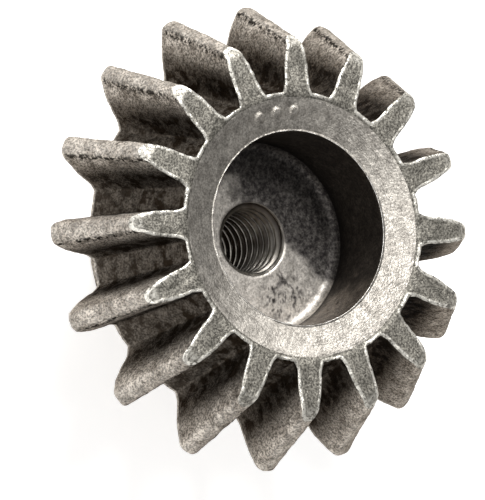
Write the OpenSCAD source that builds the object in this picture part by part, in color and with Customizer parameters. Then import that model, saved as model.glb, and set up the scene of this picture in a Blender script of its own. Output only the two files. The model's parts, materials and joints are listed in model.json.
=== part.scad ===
// Straight bevel pinion, cast in one piece, with a dished front ring, a counterbore and a tapped hub.
// Z runs along the bore. The hub's back face lies at Z = 0 and the small end faces +Z.

/* [Teeth] */
// Number of teeth
tooth_count = 16; // [14:1:18]
// Height of the pitch apex above the back face
apex_z = 83; // [81:0.5:85]
// Tip radius at the large end
tip_r = 31.5; // [31:0.1:32]
// Height of the large-end tips above the back face
tip_z = 18; // [17.5:0.1:18.5]
// Root cone's radius over the tip cone's radius, at any one height
root_ratio = 0.718; // [0.7:0.002:0.73]
// Half the width of a tooth's top land, at the large end
land_half = 1.15; // [0.8:0.05:1.2]
// Half the width of a tooth above its root fillets, at the large end
base_half = 2.3; // [2.1:0.05:2.5]
// Width that each root fillet adds to a tooth, at the large end
root_flare = 0.5; // [0.2:0.05:0.6]

/* [Body] */
// Height of the front ring's rim above the back face
body_h = 31; // [30.5:0.5:32]
// Depth of the front ring's dish, from its rim in to the counterbore's mouth
dish = 1.4; // [0.5:0.1:2]
// Drop of the tooth ends, from the rim out to their tips
end_drop = 0.1; // [0.1:0.1:0.6]
// Radius of the rear hub
hub_r = 16; // [14:0.5:18]
// Angle of the back of the teeth, from a plane across the axis
back_angle = 22.8; // [21:0.1:24]

/* [Bores] */
// Radius of the counterbore
bore_r = 13; // [12:0.1:14]
// Depth of the counterbore, from its mouth
bore_depth = 12.6; // [10:0.2:14]
// Radius in the corner of the counterbore's floor
floor_fillet = 1.2; // [0.6:0.1:1.6]
// Minor radius of the tapped hole
tap_r = 4.25; // [3.4:0.05:5]
// Depth of the countersink at each end of the tapped hole
countersink = 0.8; // [0.6:0.1:1.2]

/* [Casting marks] */
// Number of raised pips on the front ring
pip_count = 3; // [1:1:4]
// Radius of each pip
pip_r = 0.75; // [0.4:0.05:1]
// Height of the pips above the front ring, at their middles
pip_h = 0.35; // [0.1:0.05:0.5]
// Direction of the middle pip, about Z
pip_angle = -168.75; // [-180:11.25:180]

/* [Hidden] */

pitch_angle = 360 / tooth_count;
tip_slope = tip_r / (apex_z - tip_z);
root_r = tip_r * root_ratio;
front_r = root_ratio * tip_slope * (apex_z - body_h);
end_z = body_h - end_drop;
hub_top = tip_z - (tip_r - hub_r) * tan(back_angle);
mouth_z = body_h - dish;
floor_z = mouth_z - bore_depth;

hub_edge = 0.8;       // chamfer round the hub's back face
tip_round = 1;        // blunting of the tips at the large end
end_blunt = 0.8;      // chamfer of the tips at the small end
rim_inset = 0.4;      // keeps the ring's crest clear of the tooth spaces' root corners
mouth_edge = 0.25;    // edge break at the counterbore's mouth
flank_power = 3;      // how late a flank turns in towards its top land
flare_top = 0.22;     // share of the tooth height that the root fillets take up
cut_below = 9;        // depth to which a tooth space is cut past the large-end tips
cut_above = 2;        // height to which it is cut past the front face
pip_circle = (bore_r + front_r) / 2;
pip_z = body_h - dish / 2;
pip_step = 10;        // angle from one pip to the next
pip_sink = 0.8;       // depth of a pip's foot inside the body
cut_past = 1;         // run-out of each cutting solid
fillet_steps = 8;
round_fn = 96;

heights = [0, 0.05, 0.1, 0.16, 0.22, 0.4, 0.55, 0.7, 0.85, 1, 1.3];

// Radius of the tip cone at height z.
function cone_r(z) = tip_slope * (apex_z - z);

// Half the width of a tooth at the large end: u is 0 at its root and 1 at its tip.
function half_tooth(u) =
    land_half
    + (base_half - land_half) * (1 - pow(min(u, 1), flank_power))
    + root_flare * pow(max(0, 1 - u / flare_top), 2);

// Point on one side of a tooth space that is centred on the X axis.
function space_point(u, side) =
    let (r = root_r + u * (tip_r - root_r))
    let (a = pitch_angle / 2 - half_tooth(u) / r * 180 / PI)
    [r * cos(a), side * r * sin(a)];

function reversed(list) = [for (i = [len(list) - 1:-1:0]) list[i]];

// One tooth space: its outline shrinks in step with its distance from the apex.
module tooth_space() {
    low_z = tip_z - cut_below;
    low_scale = (apex_z - low_z) / (apex_z - tip_z);
    top_scale = (apex_z - body_h - cut_above) / (apex_z - tip_z);
    left = [for (u = heights) space_point(u, -1) * low_scale];
    right = [for (u = heights) space_point(u, 1) * low_scale];
    translate([0, 0, low_z])
        linear_extrude(height = body_h + cut_above - low_z, scale = top_scale / low_scale)
            polygon(concat(reversed(left), right));
}

// The turned blank, before the tooth spaces and the bores are taken out.
module blank() {
    rotate_extrude($fn = round_fn)
        polygon([
            [0, 0],
            [hub_r - hub_edge, 0],
            [hub_r, hub_edge],
            [hub_r, hub_top],
            [tip_r - tip_round, tip_z - tip_round * tan(back_angle)],
            [tip_r, tip_z],
            [cone_r(end_z - end_blunt), end_z - end_blunt],
            [cone_r(end_z) - end_blunt, end_z],
            [front_r - rim_inset, body_h],
            [bore_r, mouth_z],
            [0, mouth_z]
        ]);
}

// Counterbore, with an edge break at its mouth and a fillet round its floor.
module counterbore() {
    fillet = [for (i = [0:fillet_steps])
        let (a = 90 * i / fillet_steps)
        [bore_r - floor_fillet * (1 - sin(a)), floor_z + floor_fillet * (1 - cos(a))]];
    translate([0, 0, floor_z + floor_fillet])
        cylinder(h = bore_depth - floor_fillet + cut_past, r = bore_r, $fn = round_fn);
    rotate_extrude($fn = round_fn)
        polygon(concat([[0, floor_z]], fillet, [[0, floor_z + floor_fillet]]));
    translate([0, 0, mouth_z - mouth_edge])
        cylinder(h = mouth_edge * 2, r1 = bore_r, r2 = bore_r + mouth_edge * 2, $fn = round_fn);
}

// Tapped hole at its minor radius, with a countersink at each end.
module tapped_hole() {
    translate([0, 0, -cut_past])
        cylinder(h = floor_z + cut_past * 2, r = tap_r, $fn = round_fn);
    translate([0, 0, floor_z - countersink])
        cylinder(h = countersink * 2, r1 = tap_r, r2 = tap_r + countersink * 2, $fn = round_fn);
    translate([0, 0, -countersink])
        cylinder(h = countersink * 2, r1 = tap_r + countersink * 2, r2 = tap_r, $fn = round_fn);
}

// A short row of plain raised pips on the front ring.
module casting_marks() {
    for (i = [0:pip_count - 1])
        rotate([0, 0, pip_angle + (i - (pip_count - 1) / 2) * pip_step])
            translate([pip_circle, 0, pip_z - pip_sink])
                cylinder(h = pip_h + pip_sink, r = pip_r, $fn = 32);
}

module bevel_pinion() {
    color("silver") {
        difference() {
            blank();
            for (i = [0:tooth_count - 1])
                rotate([0, 0, (i + 0.5) * pitch_angle]) tooth_space();
            counterbore();
            tapped_hole();
        }
        casting_marks();
    }
}

bevel_pinion();
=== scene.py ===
import json
import math

import bpy
import numpy as np
from mathutils import Matrix, Vector, noise


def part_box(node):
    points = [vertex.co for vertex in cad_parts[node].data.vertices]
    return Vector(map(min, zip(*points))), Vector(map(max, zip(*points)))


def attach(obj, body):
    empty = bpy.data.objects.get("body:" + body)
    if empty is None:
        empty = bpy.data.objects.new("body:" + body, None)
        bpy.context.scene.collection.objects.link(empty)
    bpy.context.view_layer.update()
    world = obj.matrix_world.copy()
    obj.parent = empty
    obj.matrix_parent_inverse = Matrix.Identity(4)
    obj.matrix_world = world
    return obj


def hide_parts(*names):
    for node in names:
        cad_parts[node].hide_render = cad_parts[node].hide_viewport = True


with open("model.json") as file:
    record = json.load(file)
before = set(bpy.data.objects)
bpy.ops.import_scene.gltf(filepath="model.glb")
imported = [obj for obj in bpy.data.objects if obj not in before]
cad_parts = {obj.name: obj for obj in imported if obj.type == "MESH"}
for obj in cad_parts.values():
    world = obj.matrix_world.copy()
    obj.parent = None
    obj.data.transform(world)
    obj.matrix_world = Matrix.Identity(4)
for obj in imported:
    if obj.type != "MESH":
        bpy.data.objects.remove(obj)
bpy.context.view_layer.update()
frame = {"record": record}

NODE = "bevel_pinion"
MM = 0.001
MOUNTS = {m["name"]: m for m in frame["record"]["mounts"]}

# Driving sizes in millimetres: from the frame where it states them, and otherwise as in the CAD source.
LOW, HIGH = (np.array(corner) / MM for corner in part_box(NODE))
TEETH = 16
TIP_R = HIGH[0]
TIP_Z = 18.0
FRONT_Z = HIGH[2]
APEX_Z = 83.0
ROOT_RATIO = 0.718
ROOT_R = TIP_R * ROOT_RATIO
BACK_ANGLE = math.radians(22.8)
BACK_TAN = math.tan(BACK_ANGLE)
HUB_R = 16.0
HUB_TOP = TIP_Z - (TIP_R - HUB_R) * BACK_TAN
HUB_EDGE = 0.8
BORE_R = MOUNTS["counterbore"]["dims"]["r_mm"]
DISH = 1.4
MOUTH_Z = FRONT_Z - DISH
BORE_DEPTH = 12.6
FLOOR_Z = MOUTH_Z - BORE_DEPTH
FLOOR_FILLET = 1.2
MOUTH_EDGE = 0.16
TAP_R = MOUNTS["tapped_hole"]["dims"]["r_mm"]
THREAD_R = 5.0
THREAD_PITCH = 1.5
COUNTERSINK = 0.8
SINK_R = TAP_R + COUNTERSINK
FRONT_R = ROOT_R * (APEX_Z - FRONT_Z) / (APEX_Z - TIP_Z)
TURNED_IN = 0.65             # how far inside the tooth spaces the turned ring stops
TURNED_R = FRONT_R - TURNED_IN
TIP_SLOPE = TIP_R / (APEX_Z - TIP_Z)
END_BLUNT = 0.8
CHAMFER_IN = TIP_SLOPE * (APEX_Z - FRONT_Z) - END_BLUNT
CHAMFER_SLOPE = 1 / (1 + TIP_SLOPE)
PIP_MIDDLE, PIP_STEP = -168.75, 10
PIP_ANGLES = [math.radians(PIP_MIDDLE + PIP_STEP * k) for k in (-1, 0, 1)]
PIP_HEIGHT, PIP_TOP_R, PIP_FOOT_R = 0.33, 0.45, 0.9

# One tooth at its large end. u is 0 at its root and 1 at its tip.
LAND_HALF = 1.15
BASE_HALF = 2.3
ROOT_FLARE = 0.5
FLARE_TOP = 0.22
FLANK_POWER = 3.0
CREST_U = 0.93               # where the flank starts to round over into the crest
CREST_POWER = 3
FLOOR_STEPS, FLANK_STEPS, CREST_STEPS = 6, 25, 5

# The front: room left below the CAD's for cast lumps, and how the tooth ends fall away outwards.
FRONT_ROOM = 0.12
END_FALL, END_REACH = 0.15, 7

FLANK, END, TURNED, BORE, FLOOR, THREAD = range(6)
ATTRIBUTES = ("grain", "edge", "shade", "stain", "seam")


# ---------------------------------------------------------------- shape of one tooth

def half_tooth(u):
    """Half the width of a tooth at the large end: u is 0 at its root and 1 at its tip."""
    turn_in = (BASE_HALF - LAND_HALF) * (1 - min(u, 1) ** FLANK_POWER)
    return LAND_HALF + turn_in + ROOT_FLARE * max(0, 1 - u / FLARE_TOP) ** 2


def half_profile():
    """Points from the middle of a tooth space to the middle of a crest: (angle, radius, u)."""
    pitch_half = math.pi / TEETH
    foot = half_tooth(0) / ROOT_R
    points = [(-pitch_half + (pitch_half - foot) * i / FLOOR_STEPS, ROOT_R, 0) for i in range(FLOOR_STEPS)]
    for i in range(FLANK_STEPS + 1):
        u = CREST_U * (i / FLANK_STEPS) ** 1.05
        r = ROOT_R + u * (TIP_R - ROOT_R)
        points.append((-half_tooth(u) / r, r, u))
    width = half_tooth(CREST_U)
    for i in range(1, CREST_STEPS + 1):
        x = width * (1 - i / CREST_STEPS)
        u = CREST_U + (1 - CREST_U) * (1 - (x / width) ** CREST_POWER)
        r = ROOT_R + u * (TIP_R - ROOT_R)
        points.append((-x / r, r, u))
    return points


def full_profile():
    """Closed outline of all the teeth in the plane of the large-end tips."""
    half = half_profile()
    tooth = half + [(-a, r, u) for a, r, u in reversed(half[1:-1])]
    rows = []
    for k in range(TEETH):
        for a, r, u in tooth:
            rows.append((a + k * 2 * math.pi / TEETH, r, u))
    return np.array(rows)


PROFILE = full_profile()
PROFILE_U = PROFILE[:, 2]


def inset(outline, depth):
    """Move a closed 2D outline inwards by a depth, square to itself."""
    along = np.roll(outline, -1, 0) - np.roll(outline, 1, 0)
    along /= np.linalg.norm(along, axis=1)[:, None]
    inward = np.stack([-along[:, 1], along[:, 0]], 1)
    depth = np.broadcast_to(depth, len(outline))
    return outline + inward * depth[:, None]


def flat(angle, radius):
    """Points in a plane from angles and radii."""
    return np.stack([radius * np.cos(angle), radius * np.sin(angle)], 1)


def front_height(r):
    """Height of the front surface at radius r: dished ring, level tooth ends, chamfered tips."""
    dished = DISH * np.clip((FRONT_R - r) / (FRONT_R - BORE_R), 0, 1.1)
    fall = END_FALL * np.clip((r - FRONT_R) / END_REACH, 0, 2)
    blunt = CHAMFER_SLOPE * np.clip(r - CHAMFER_IN, 0, 4)
    return FRONT_Z - FRONT_ROOM - dished - fall - blunt


def back_height(r):
    """Height of the back cone, behind the teeth, at radius r."""
    return TIP_Z - (TIP_R - r) * BACK_TAN


def scale_to(surface, radius):
    """Scale about the apex that carries a profile point to a surface given by its height at r."""
    scale = np.ones_like(radius)
    for _ in range(12):
        scale = (APEX_Z - surface(radius * scale)) / (APEX_Z - TIP_Z)
    return scale


# ---------------------------------------------------------------- skin made of rings

class Skin:
    """One closed surface, built ring by ring. Each ring starts near the middle of a tooth space."""

    def __init__(self):
        self.points, self.values, self.faces, self.kinds = [], [], [], []
        self.angles = {}
        self.count = 0

    def ring(self, xy, z, **values):
        """Points of one ring, with its attributes. Gives their numbers."""
        n = len(xy)
        self.points.append(np.column_stack([xy, np.broadcast_to(z, n)]))
        self.values.append(np.column_stack(
            [np.broadcast_to(values.get(name, 0.0), n) for name in ATTRIBUTES]))
        start = self.count
        self.count += n
        turned = np.unwrap(np.arctan2(xy[:, 1], xy[:, 0]))
        self.angles[start] = np.append(turned, turned[0] + 2 * math.pi)
        return np.arange(start, self.count)

    def join(self, a, b, kind):
        """Faces from ring a on to ring b, in the order that turns them away from the metal."""
        if len(a) != len(b):
            self.bridge(a, b, kind)
            return
        quads = np.stack([a, np.roll(a, -1), np.roll(b, -1), b], 1)
        self.faces.extend(map(tuple, quads.tolist()))
        self.kinds.extend([kind] * len(a))

    def grow(self, last, kind, xy, z, **values):
        """A further ring, joined on to the last one."""
        ring = self.ring(xy, z, **values)
        self.join(last, ring, kind)
        return ring

    def bridge(self, a, b, kind):
        """Triangles between two rings of different counts."""
        angle_a, angle_b = self.angles[a[0]], self.angles[b[0]]
        i = j = 0
        n, m = len(a), len(b)
        while i < n or j < m:
            if j == m or (i < n and angle_a[i + 1] <= angle_b[j + 1]):
                triangle = (a[i % n], a[(i + 1) % n], b[j % m])
                i += 1
            else:
                triangle = (a[i % n], b[(j + 1) % m], b[j % m])
                j += 1
            self.faces.append(tuple(int(v) for v in triangle))
            self.kinds.append(kind)


def circle(n, r):
    """A ring of n points that starts in the middle of a tooth space."""
    angle = -math.pi / TEETH + 2 * math.pi * np.arange(n) / n
    return flat(angle, np.full(n, r))


# ---------------------------------------------------------------- the pinion, ring by ring

ROUND = 256
BACK_ROUND = 0.4
FRONT_ROUND = 0.2
CONE_LENGTH = np.hypot(PROFILE[:, 1], APEX_Z - TIP_Z)


def section(scale, depth=0.0):
    """The profile carried to a scale about the apex and set in by a depth, with its heights."""
    return inset(flat(PROFILE[:, 0], PROFILE[:, 1] * scale), depth), APEX_Z - (APEX_Z - TIP_Z) * scale


def smooth(value, low, high):
    """Smooth step from 0 at low to 1 at high. High may lie below low."""
    t = np.clip((value - low) / (high - low), 0, 1)
    return t * t * (3 - 2 * t)


def add_back(skin):
    """Back face, hub and the backs of the teeth."""
    first = last = skin.ring(circle(ROUND, SINK_R), 0.0, edge=0.3)
    steps = [(r, 0.0, 0.3) for r in np.linspace(SINK_R + 0.4, HUB_R - HUB_EDGE, 16)]
    steps += [(HUB_R, HUB_EDGE, 0.6)]
    steps += [(HUB_R, z, 1.0) for z in np.linspace(HUB_EDGE + 0.4, HUB_TOP, 8)]
    for r, z, grain in steps:
        last = skin.grow(last, FLANK, circle(ROUND, r), z, grain=grain * 0.6, edge=0.5 * (z == HUB_EDGE))
    scale = scale_to(back_height, PROFILE[:, 1])
    edge_xy, _ = section(scale, BACK_ROUND + 0.2)
    edge_r = np.linalg.norm(edge_xy, axis=1)
    edge_angle = np.unwrap(np.arctan2(edge_xy[:, 1], edge_xy[:, 0]))
    for f in np.linspace(0.02, 1, 22):
        r = HUB_R + (edge_r - HUB_R) * f
        shade = 0.7 * (1 - smooth(r, HUB_R, 21))
        last = skin.grow(last, FLANK, flat(edge_angle, r), back_height(r), grain=1.0, shade=shade)
    for turn in np.radians([0, 30, 60, 90]):
        at = scale - BACK_ROUND * (1 - math.cos(turn)) / CONE_LENGTH
        xy, z = section(at, BACK_ROUND * (1 - math.sin(turn)))
        last = skin.grow(last, FLANK, xy, z, grain=0.8, edge=0.35)
    return first, last


def add_teeth(skin, last):
    """Flanks, crests and the floors of the tooth spaces, from the large end to the small end."""
    from_scale = scale_to(back_height, PROFILE[:, 1]) - BACK_ROUND / CONE_LENGTH
    to_scale = scale_to(front_height, PROFILE[:, 1]) + FRONT_ROUND / CONE_LENGTH
    crest = smooth(PROFILE_U, 0.9, 0.99)
    # A dotted dark line runs along one corner of each crest, and painted shade darkens the roots and lower
    # flanks.
    side = np.angle(np.exp(1j * TEETH * PROFILE[:, 0])) > 0
    seam = side * smooth(PROFILE_U, 0.80, 0.90) * (1 - smooth(PROFILE_U, 0.93, 0.985))
    flank = 1 - smooth(PROFILE_U, 0.30, 0.92)
    low = np.where(PROFILE_U > 0.06, flank, 0.94)
    grain = 1.0 + 0.8 * (PROFILE_U < 0.03)
    for f in np.linspace(0, 1, 48)[1:]:
        scale = from_scale + (to_scale - from_scale) * f
        xy, z = section(scale)
        last = skin.grow(last, FLANK, xy, z, grain=grain, edge=0.16 * crest, seam=seam,
                         shade=low * (0.9 + 0.1 * f))
    return last, to_scale - FRONT_ROUND / CONE_LENGTH


def add_tooth_ends(skin, last, scale):
    """Blunted small-end edges with their burr, and the tooth ends in to the turned ring."""
    for turn in np.radians([30, 60, 90]):
        at = scale + FRONT_ROUND * (1 - math.sin(turn)) / CONE_LENGTH
        xy, z = section(at, FRONT_ROUND * (1 - math.cos(turn)))
        last = skin.grow(last, END, xy, z, grain=0.5, edge=1.0)
    for depth, edge in ((0.36, 0.8), (0.46, 0.2)):
        xy, _ = section(scale, depth)
        r = np.linalg.norm(xy, axis=1)
        last = skin.grow(last, END, xy, front_height(r), grain=0.8, edge=edge)
    angle = np.unwrap(np.arctan2(xy[:, 1], xy[:, 0]))
    for f in np.linspace(0, 1, 16)[1:]:
        at = r + (TURNED_R - r) * f
        tip = smooth(at, CHAMFER_IN - 0.25, CHAMFER_IN + 0.25)
        groove = smooth(at, TURNED_R + 0.25, TURNED_R + 0.05)
        last = skin.grow(last, END, flat(angle, at), front_height(at) - 0.03 * groove, shade=0.22 * groove,
                         grain=0.9 - 0.5 * smooth(f, 0.8, 1), edge=0.62 * tip)
    return last, angle


def pip_rise(xy):
    """Height of the raised pips over a point of the front ring."""
    rise = np.zeros(len(xy))
    for angle in PIP_ANGLES:
        centre = flat(np.array([angle]), (BORE_R + FRONT_R) / 2)
        away = np.linalg.norm(xy - centre, axis=1)
        rise += PIP_HEIGHT * (1 - smooth(away, PIP_TOP_R, PIP_FOOT_R))
    return rise


def add_front_ring(skin, last, angle):
    """Turned ring, from the tooth ends in to the counterbore's mouth."""
    for r in np.linspace(TURNED_R, BORE_R + MOUTH_EDGE, 20)[1:]:
        xy = flat(angle, np.full(len(angle), r))
        last = skin.grow(last, TURNED, xy, front_height(r) + pip_rise(xy), grain=0.2)
    return last


def add_counterbore(skin, last):
    """Broken edge of the mouth, wall, fillet and floor."""
    steps = [(BORE_R + MOUTH_EDGE - 0.03, MOUTH_Z - 0.03, TURNED, 0.8),
             (BORE_R + 0.06, MOUTH_Z - 0.09, TURNED, 1.0),
             (BORE_R, MOUTH_Z - MOUTH_EDGE, BORE, 0.5)]
    steps += [(BORE_R, z, BORE, 0.0) for z in np.linspace(MOUTH_Z - 0.8, FLOOR_Z + FLOOR_FILLET, 26)]
    for a in np.radians(np.linspace(0, 90, 9))[1:]:
        steps.append((BORE_R - FLOOR_FILLET * (1 - math.cos(a)),
                      FLOOR_Z + FLOOR_FILLET * (1 - math.sin(a)), FLOOR, 0.0))
    steps += [(r, FLOOR_Z, FLOOR, 0.0) for r in np.linspace(BORE_R - FLOOR_FILLET, SINK_R, 22)[1:]]
    for r, z, kind, edge in steps:
        grain = 0.45 if kind in (BORE, FLOOR) else 0.05
        corner = smooth(z, FLOOR_Z + 4.5, FLOOR_Z + 0.4) * (kind == BORE)
        last = skin.grow(last, kind, circle(ROUND, r), z, grain=grain, edge=edge * 0.6, shade=corner)
    return last


# Shares of the pitch taken by the thread's crest and by each of its flanks.
CREST_SHARE, FLANK_SHARE = 0.25, 0.3125
ROWS_PER_TURN = 12


def thread_depth(angle, z):
    """Depth of the thread's groove, from 0 at the minor radius to 1 at the nominal radius."""
    phase = (z / THREAD_PITCH - angle / (2 * math.pi)) % 1
    rise = np.clip((phase - CREST_SHARE) / FLANK_SHARE, 0, 1)
    fall = np.clip((1 - phase) / FLANK_SHARE, 0, 1)
    return np.minimum(rise, fall)


def add_thread(skin, last):
    """Tapped hole from the floor down to the back face."""
    angle = -math.pi / TEETH + 2 * math.pi * np.arange(ROUND) / ROUND
    rows = int(FLOOR_Z / THREAD_PITCH * ROWS_PER_TURN)
    for z in np.linspace(FLOOR_Z, 0, rows + 1)[1:-1]:
        deep = thread_depth(angle, z)
        cut = TAP_R + (THREAD_R - TAP_R) * deep
        cone = TAP_R + max(z - (FLOOR_Z - COUNTERSINK), COUNTERSINK - z, 0)
        # Painted shade, deeper in the thread's grooves and further down the hole.
        far = smooth(z, FLOOR_Z, 2.0)
        last = skin.grow(last, THREAD, flat(angle, np.maximum(cut, cone)), z, grain=0.03,
                         shade=np.clip(0.9 * deep + 0.8 * far, 0, 1) * (cut > cone))
    return last


def build_skin():
    """The whole casting: up the back, over the teeth and down through the bores."""
    skin = Skin()
    first, last = add_back(skin)
    last, end_scale = add_teeth(skin, last)
    last, angle = add_tooth_ends(skin, last, end_scale)
    last = add_front_ring(skin, last, angle)
    last = add_counterbore(skin, last)
    last = add_thread(skin, last)
    skin.join(last, first, THREAD)
    return skin


# ---------------------------------------------------------------- casting surface

def lumps(points, size, seed):
    """Smooth noise of one lump size in millimetres, the same on every run."""
    shift = Vector((seed * 17.3, seed * 5.1, seed * 9.7))
    return np.array([noise.noise(Vector(p) / size + shift) for p in points])


def roughen(points, normals, values):
    """Cast lumps, grain and burr, as far as each point's attributes ask for them."""
    grain, edge = values[:, 0], values[:, 1]
    relief = 0.10 * lumps(points, 3.2, 1) + 0.07 * lumps(points, 1.1, 2) + 0.05 * lumps(points, 0.5, 3)
    burr = edge * (0.02 + 0.11 * lumps(points, 0.9, 4))
    return points + normals * (grain * relief + burr)[:, None]


def side_shade_and_crack_mask(points):
    """Painted shade on one side of the counterbore, and a few cracks in the scale on its floor."""
    across = points @ np.array([-0.72, 0.69, 0.0])
    one_side_shade = smooth(across + 2.4 * lumps(points, 2.6, 5) + 1.2 * lumps(points, 0.9, 6), 1.6, 4.6)
    near = 1 - smooth(np.linalg.norm(points[:, :2] - (7.6, 4.4), axis=1), 2.2, 4.4)
    crack = 1 - smooth(np.abs(lumps(points, 1.7, 7)), 0.03, 0.09)
    spot = smooth(lumps(points, 0.8, 8), 0.28, 0.4)
    return np.maximum(one_side_shade, near * np.maximum(crack, spot))


def make_mesh():
    """The casting's mesh, roughened and kept inside the CAD node's box."""
    skin = build_skin()
    points = np.concatenate(skin.points)
    values = np.concatenate(skin.values)
    values[:, ATTRIBUTES.index("stain")] = side_shade_and_crack_mask(points)
    mesh = bpy.data.meshes.new("pinion_casting")
    mesh.from_pydata((points * MM).tolist(), [], skin.faces)
    mesh.update()
    normals = np.empty(len(points) * 3, np.float32)
    mesh.vertex_normals.foreach_get("vector", normals)
    points = roughen(points, normals.reshape(-1, 3), values)
    points = np.clip(points, LOW, HIGH)
    mesh.vertices.foreach_set("co", (points * MM).ravel())
    for i, name in enumerate(ATTRIBUTES):
        layer = mesh.attributes.new(name, "FLOAT", "POINT")
        layer.data.foreach_set("value", values[:, i].astype(np.float32))
    mesh.polygons.foreach_set("material_index", np.array(skin.kinds, np.int32))
    mesh.polygons.foreach_set("use_smooth", np.ones(len(skin.faces), bool))
    mesh.update()
    return mesh


# ---------------------------------------------------------------- materials

class Metal:
    """A metal being put together, with short calls for the few node kinds that it uses."""

    def __init__(self, name):
        self.material = bpy.data.materials.new(name)
        self.material.use_nodes = True
        self.tree = self.material.node_tree
        self.shader = self.tree.nodes["Principled BSDF"]
        self.place = self.tree.nodes.new("ShaderNodeTexCoord").outputs["Object"]

    def link(self, source, socket):
        self.tree.links.new(source, socket)

    def add(self, kind, **sockets):
        node = self.tree.nodes.new(kind)
        for name, value in sockets.items():
            socket = node.inputs[name]
            if isinstance(value, bpy.types.NodeSocket):
                self.link(value, socket)
            else:
                socket.default_value = value
        return node

    def attribute(self, name):
        node = self.tree.nodes.new("ShaderNodeAttribute")
        node.attribute_name = name
        return node.outputs["Fac"]

    def noise(self, size_mm, detail, roughness=0.6):
        """Noise whose lumps are about size_mm across."""
        return self.add("ShaderNodeTexNoise", Vector=self.place, Scale=1 / (size_mm * MM),
                        Detail=detail, Roughness=roughness).outputs["Fac"]

    def ramp(self, value, *stops):
        """Grey or colour ramp: stops are (place, grey or (r, g, b))."""
        node = self.add("ShaderNodeValToRGB", Fac=value)
        elements = node.color_ramp.elements
        while len(elements) < len(stops):
            elements.new(0.5)
        for element, (place, colour) in zip(elements, stops):
            element.position = place
            rgb = colour if isinstance(colour, tuple) else (colour,) * 3
            element.color = (*rgb, 1)
        return node.outputs["Color"]

    def patches(self, size_mm, detail, low, high, roughness=0.6):
        """Noise sent through a ramp with two stops."""
        return self.ramp(self.noise(size_mm, detail, roughness), low, high)

    def times(self, a, b):
        """Product of two greys, held between 0 and 1."""
        node = self.tree.nodes.new("ShaderNodeMath")
        node.operation = "MULTIPLY"
        node.use_clamp = True
        for socket, value in zip(node.inputs, (a, b)):
            if isinstance(value, bpy.types.NodeSocket):
                self.link(value, socket)
            else:
                socket.default_value = value
        return node.outputs[0]

    def radius(self):
        """Distance from the object's own axis."""
        separate = self.add("ShaderNodeSeparateXYZ", Vector=self.place)
        squares = [self.add("ShaderNodeMath") for _ in range(2)]
        for node, axis in zip(squares, "XY"):
            node.operation = "POWER"
            self.link(separate.outputs[axis], node.inputs[0])
            node.inputs[1].default_value = 2
        total = self.add("ShaderNodeMath")
        for square, socket in zip(squares, total.inputs):
            self.link(square.outputs[0], socket)
        root = self.add("ShaderNodeMath")
        root.operation = "SQRT"
        self.link(total.outputs[0], root.inputs[0])
        return root.outputs[0]

    def mix(self, amount, a, b, kind="MIX"):
        node = self.tree.nodes.new("ShaderNodeMix")
        node.data_type = "RGBA"
        node.blend_type = kind
        for name, value in (("Factor_Float", amount), ("A_Color", a), ("B_Color", b)):
            socket = next(s for s in node.inputs if s.identifier == name)
            if isinstance(value, bpy.types.NodeSocket):
                self.link(value, socket)
            elif name == "Factor_Float":
                socket.default_value = value
            else:
                socket.default_value = (*value, 1)
        return next(s for s in node.outputs if s.identifier == "Result_Color")

    def bump(self, height, distance_mm, strength, under=None):
        distance = distance_mm * MM
        node = self.add("ShaderNodeBump", Height=height, Strength=strength, Distance=distance)
        if under:
            self.link(under, node.inputs["Normal"])
        return node.outputs["Normal"]

    def finish(self, colour, roughness, normal, metallic):
        self.link(colour, self.shader.inputs["Base Color"])
        self.link(roughness, self.shader.inputs["Roughness"])
        self.link(normal, self.shader.inputs["Normal"])
        self.shader.inputs["Metallic"].default_value = metallic
        return self.material


SPECK_BROWN = (0.03, 0.024, 0.018)
CREST_LINE_BROWN = (0.03, 0.026, 0.022)
CRUMB_BROWN = (0.03, 0.025, 0.02)
SHADE_AND_CRACK_BROWN = (0.03, 0.02, 0.015)
THREAD_SHADE_BROWN = (0.018, 0.012, 0.009)
PIT_GREY = (0.10, 0.09, 0.08)
MOUTH_GLINT = (0.9, 0.88, 0.85)


def cast_metal(name, dark, light, root, speck, glint):
    """Sand-cast steel: warm mottled grey, dark specks, painted shade in the roots and creases, a dotted
    dark line along the crests and bright burred edges with a painted glint.
    """
    metal = Metal(name)
    mottle = metal.patches(1.6, 4, (0.34, dark), (0.66, light))
    fine = metal.patches(0.28, 2, (0.40, 0.36), (0.60, 1.34))
    colour = metal.mix(0.9, mottle, fine, "MULTIPLY")
    specks = metal.patches(0.34, 3, (0.33, 1.0), (0.42, 0.0), 0.7)
    colour = metal.mix(metal.times(specks, speck), colour, SPECK_BROWN)
    # Painted shade: the shade attribute, made patchy, pulls the colour towards root, the colour of the
    # painted shade.
    painted_shade = metal.patches(1.6, 4, (0.34, 0.62), (0.58, 1.1))
    colour = metal.mix(metal.times(metal.attribute("shade"), painted_shade), colour, root)
    # A dotted dark line along one corner of each crest.
    dots = metal.patches(0.5, 2, (0.44, 1.3), (0.54, 0.0))
    colour = metal.mix(metal.times(metal.attribute("seam"), dots), colour, CREST_LINE_BROWN)
    broken = metal.times(metal.patches(0.42, 3, (0.40, 0.0), (0.50, 1.3), 0.7),
                         metal.patches(1.5, 2, (0.36, 0.15), (0.54, 1.1)))
    # Burred, worn edges with a painted glint: the edge attribute, broken up, pulls the colour towards
    # glint.
    wear_and_glint = metal.times(metal.attribute("edge"), broken)
    colour = metal.mix(wear_and_glint, colour, glint)
    rough = metal.mix(wear_and_glint, metal.patches(0.6, 2, (0.3, 0.72), (0.7, 0.5)), (0.36, 0.36, 0.36))
    normal = metal.bump(metal.noise(0.28, 3), 0.08, 0.85)
    normal = metal.bump(metal.noise(0.8, 2), 0.14, 0.75, normal)
    metal.shader.inputs["Specular IOR Level"].default_value = 0.12
    metal.shader.inputs["Specular Tint"].default_value = (0.16, 0.14, 0.12, 1)
    return metal.finish(colour, rough, normal, 0.9)


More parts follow.
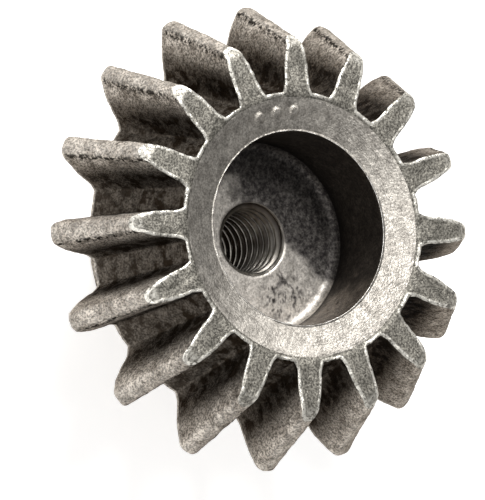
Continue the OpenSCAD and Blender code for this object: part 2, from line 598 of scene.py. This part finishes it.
def turned_metal():
    """Faced ring: fine concentric tool marks, brighter than the casting, with a few pits."""
    metal = Metal("turned_ring")
    tint = metal.patches(1.5, 4, (0.32, (0.27, 0.25, 0.222)), (0.66, (0.52, 0.487, 0.438)))
    fine = metal.patches(0.27, 2, (0.40, 0.60), (0.60, 1.18))
    tint = metal.mix(0.8, tint, fine, "MULTIPLY")
    pits = metal.patches(0.45, 3, (0.31, 1.0), (0.37, 0.0), 0.7)
    colour = metal.mix(metal.times(pits, 0.75), tint, PIT_GREY)
    dots = metal.patches(0.7, 2, (0.40, 0.0), (0.56, 1.0))
    colour = metal.mix(metal.times(metal.attribute("edge"), dots), colour, MOUTH_GLINT)
    rings = metal.add("ShaderNodeTexNoise", Scale=1 / (0.16 * MM), Detail=2.0)
    rings.noise_dimensions = "1D"
    metal.link(metal.radius(), rings.inputs["W"])
    normal = metal.bump(rings.outputs["Fac"], 0.02, 0.7)
    normal = metal.bump(metal.noise(0.34, 3), 0.09, 0.9, normal)
    rough = metal.patches(1.2, 3, (0.3, 0.42), (0.7, 0.58))
    metal.shader.inputs["Anisotropic"].default_value = 0.6
    tangent = metal.add("ShaderNodeTangent")
    tangent.direction_type = "RADIAL"
    tangent.axis = "Z"
    metal.link(tangent.outputs[0], metal.shader.inputs["Tangent"])
    return metal.finish(colour, rough, normal, 1.0)


def bore_metal(name, dark, light, painted_shade, one_side_shade, crumb):
    """Unpolished inside of the counterbore, with painted shade on one side and towards the floor corner,
    and cracks and crumbs of scale.
    """
    metal = Metal(name)
    mottle = metal.patches(1.3, 4, (0.32, dark), (0.68, light))
    colour = metal.mix(0.8, mottle, metal.patches(0.3, 2, (0.35, 0.6), (0.62, 1.2)), "MULTIPLY")
    # Painted shade over one side of the counterbore, together with the cracks in the scale.
    cover = metal.patches(0.6, 4, (0.36, one_side_shade), (0.66, one_side_shade * 0.72), 0.7)
    stain = metal.times(metal.attribute("stain"), cover)
    colour = metal.mix(stain, colour, painted_shade)
    colour = metal.mix(metal.attribute("shade"), colour, painted_shade)
    crumbs = metal.patches(0.8, 4, (0.35, 1.0), (0.41, 0.0), 0.75)
    colour = metal.mix(metal.times(crumbs, crumb), colour, CRUMB_BROWN)
    rough = metal.mix(stain, metal.patches(0.8, 3, (0.3, 0.6), (0.7, 0.45)), (0.62, 0.62, 0.62))
    return metal.finish(colour, rough, metal.bump(metal.noise(0.4, 3), 0.05, 0.8), 0.85)


def thread_metal():
    """Cut thread: bright crests, painted shade in the grooves and down towards the far end."""
    metal = Metal("cut_thread")
    colour = metal.patches(0.9, 3, (0.3, (0.42, 0.39, 0.34)), (0.7, (0.66, 0.62, 0.56)))
    colour = metal.mix(metal.attribute("shade"), colour, THREAD_SHADE_BROWN)
    # Painted shade on one side of the hole.
    colour = metal.mix(metal.times(metal.attribute("stain"), 0.6), colour, SHADE_AND_CRACK_BROWN)
    rough = metal.patches(0.7, 2, (0.3, 0.30), (0.7, 0.42))
    return metal.finish(colour, rough, metal.bump(metal.noise(0.3, 2), 0.012, 0.6), 1.0)


def plain(name, colour, roughness, glow):
    """Plain matt surface with a faint glow of its own, for the floor."""
    material = bpy.data.materials.new(name)
    material.use_nodes = True
    shader = material.node_tree.nodes["Principled BSDF"]
    shader.inputs["Base Color"].default_value = (*colour, 1)
    shader.inputs["Roughness"].default_value = roughness
    shader.inputs["Emission Color"].default_value = (*colour, 1)
    shader.inputs["Emission Strength"].default_value = glow
    return material


def add_pinion():
    """The casting as one object, in place of the CAD node."""
    mesh = make_mesh()
    metals = {
        # The third colour of each cast metal is its painted shade in the roots and creases.
        FLANK: cast_metal("cast_flanks", (0.20, 0.175, 0.148), (0.50, 0.455, 0.40), (0.022, 0.016, 0.011),
                          0.8, (0.70, 0.67, 0.62)),
        END: cast_metal("cast_ends", (0.165, 0.156, 0.135), (0.33, 0.312, 0.272), (0.05, 0.045, 0.04),
                        0.7, (0.80, 0.77, 0.70)),
        TURNED: turned_metal(),
        # The wall gets far darker colours than the floor: painted shade inside the counterbore.
        BORE: bore_metal("counterbore_wall", (0.075, 0.06, 0.047), (0.21, 0.176, 0.142),
                         (0.010, 0.008, 0.007), 0.85, 0.6),
        FLOOR: bore_metal("counterbore_floor", (0.36, 0.335, 0.30), (0.62, 0.58, 0.53),
                          (0.028, 0.024, 0.024), 1.0, 0.35),
        THREAD: thread_metal(),
    }
    for kind in sorted(metals):
        mesh.materials.append(metals[kind])
    pinion = bpy.data.objects.new("pinion_casting", mesh)
    bpy.context.scene.collection.objects.link(pinion)
    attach(pinion, "root")
    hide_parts(NODE)


# ---------------------------------------------------------------- floor, light and camera

AZIMUTH, ELEVATION = math.radians(13.1), math.radians(59.6)
AXIS_TILT = math.radians(13.8)
LENS, SENSOR = 576.0, 36.0
DISTANCE = 1.064
MOUTH_RIGHT, MOUTH_UP = 7.51 * MM, 2.93 * MM    # where the mouth lies from the middle of the view
NEAR_CLIP, FAR_CLIP = 0.01, 10


def camera_axes():
    """Image right, image up and the way back to the camera, with +Z leaning right in the image."""
    back = Vector((math.sin(AZIMUTH) * math.cos(ELEVATION),
                   -math.cos(AZIMUTH) * math.cos(ELEVATION), math.sin(ELEVATION)))
    axis = (Vector((0, 0, 1)) - back * back.z).normalized()
    side = back.cross(axis)
    right = axis * math.cos(AXIS_TILT) - side * math.sin(AXIS_TILT)
    up = axis * math.sin(AXIS_TILT) + side * math.cos(AXIS_TILT)
    return right, up, back


def add_camera():
    """Long lens, with the pinion's axis leaning to the right in the picture."""
    right, up, back = camera_axes()
    mouth = Vector((0, 0, MOUTH_Z * MM))
    place = mouth + back * DISTANCE - right * MOUTH_RIGHT - up * MOUTH_UP
    data = bpy.data.cameras.new("camera")
    data.lens, data.sensor_width = LENS, SENSOR
    data.clip_start, data.clip_end = NEAR_CLIP, FAR_CLIP
    camera = bpy.data.objects.new("camera", data)
    turn = Matrix((right, up, back)).transposed().to_4x4()
    camera.matrix_world = Matrix.Translation(place) @ turn
    bpy.context.scene.collection.objects.link(camera)
    bpy.context.scene.camera = camera


# The floor lies a hair below the back face, so that the two don't share a plane.
FLOOR_GAP = 0.00008
FLOOR_SIZE = 6
FLOOR_GLOW = 0.56
WORLD_LIGHT = 0.42


def add_floor():
    """Plain pale floor."""
    bpy.ops.mesh.primitive_plane_add(size=FLOOR_SIZE)
    floor = bpy.context.object
    floor.name = "floor"
    floor.location.z = -FLOOR_GAP
    floor.data.materials.append(plain("pale_floor", (0.92, 0.915, 0.91), 0.9, FLOOR_GLOW))


def add_light(name, direction, distance, size, watts):
    """Soft square light aimed at the pinion from a direction in the object's own axes."""
    way = Vector(direction).normalized()
    data = bpy.data.lights.new(name, "AREA")
    data.shape, data.size, data.energy = "SQUARE", size, watts
    light = bpy.data.objects.new(name, data)
    light.location = way * distance
    light.rotation_euler = way.to_track_quat("Z", "Y").to_euler()
    bpy.context.scene.collection.objects.link(light)


def add_lights():
    """An even studio, a key from -X, a glint for the ring and a soft fill from -Y."""
    world = bpy.data.worlds.new("studio")
    world.use_nodes = True
    background = world.node_tree.nodes["Background"]
    background.inputs["Color"].default_value = (1, 1, 1, 1)
    background.inputs["Strength"].default_value = WORLD_LIGHT
    bpy.context.scene.world = world
    add_light("key", (-0.80, -0.05, 0.72), 0.8, 0.36, 8)
    add_light("ring_glint", (-0.40, 0.0, 0.92), 0.9, 0.2, 2.5)
    add_light("side_fill", (0.35, -0.8, 0.5), 0.9, 0.3, 2.5)


def main():
    add_camera()
    add_pinion()
    add_floor()
    add_lights()
    bpy.context.scene.view_settings.view_transform = "Standard"


main()
